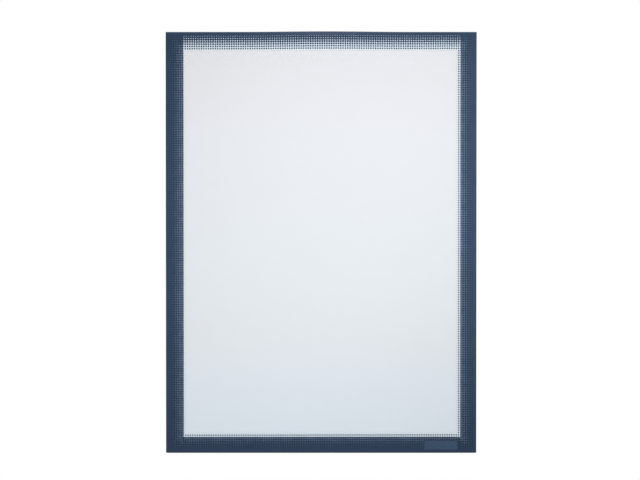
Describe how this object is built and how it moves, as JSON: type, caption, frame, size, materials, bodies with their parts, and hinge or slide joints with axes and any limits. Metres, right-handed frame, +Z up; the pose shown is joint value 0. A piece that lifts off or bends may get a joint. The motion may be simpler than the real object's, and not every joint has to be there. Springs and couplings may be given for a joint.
{
  "type": "magnetic document holder",
  "caption": "Upright A4 document holder of clear stiff film folded along the top edge, with flat magnet strips at the sides and bottom that hold it to steel and close its cover.",
  "frame": {"origin": "middle of the whole holder: half its width, its height and its thickness", "axes": "+Z up along the height, towards the folded top edge; +Y from the printed cover towards the wall; +X to the right as the cover is read from the front"},
  "size_m": [0.236, 0.004, 0.3234],
  "materials": {
    "clear_film": "gloss",
    "printed_film": "gloss",
    "magnet_rubber": "matte",
    "closing_rubber": "matte",
    "tape_film": "satin"
  },
  "bodies": {
    "rear_leaf": {"rear_panel": "clear_film", "hinge_fold": "printed_film", "holding_magnet_left": "magnet_rubber", "holding_magnet_right": "magnet_rubber", "holding_magnet_bottom": "magnet_rubber", "holding_tape_left": "tape_film", "holding_tape_right": "tape_film", "holding_tape_bottom": "tape_film", "closing_strip_left": "closing_rubber", "closing_strip_right": "closing_rubber", "closing_strip_bottom": "closing_rubber", "closing_tape_left": "tape_film", "closing_tape_right": "tape_film", "closing_tape_bottom": "tape_film"},
    "cover": {"front_cover": "printed_film", "cover_magnet_left": "magnet_rubber", "cover_magnet_right": "magnet_rubber", "cover_magnet_bottom": "magnet_rubber", "cover_tape_left": "tape_film", "cover_tape_right": "tape_film", "cover_tape_bottom": "tape_film"}
  },
  "joints": [
    {"name": "cover_hinge", "type": "hinge", "parent": "rear_leaf", "child": "cover", "pos_m": [0, -0.00055, 0.1598], "axis": [-1, 0, 0], "range_deg": [0, 180], "deforming": ["hinge_fold"]}
  ]
}
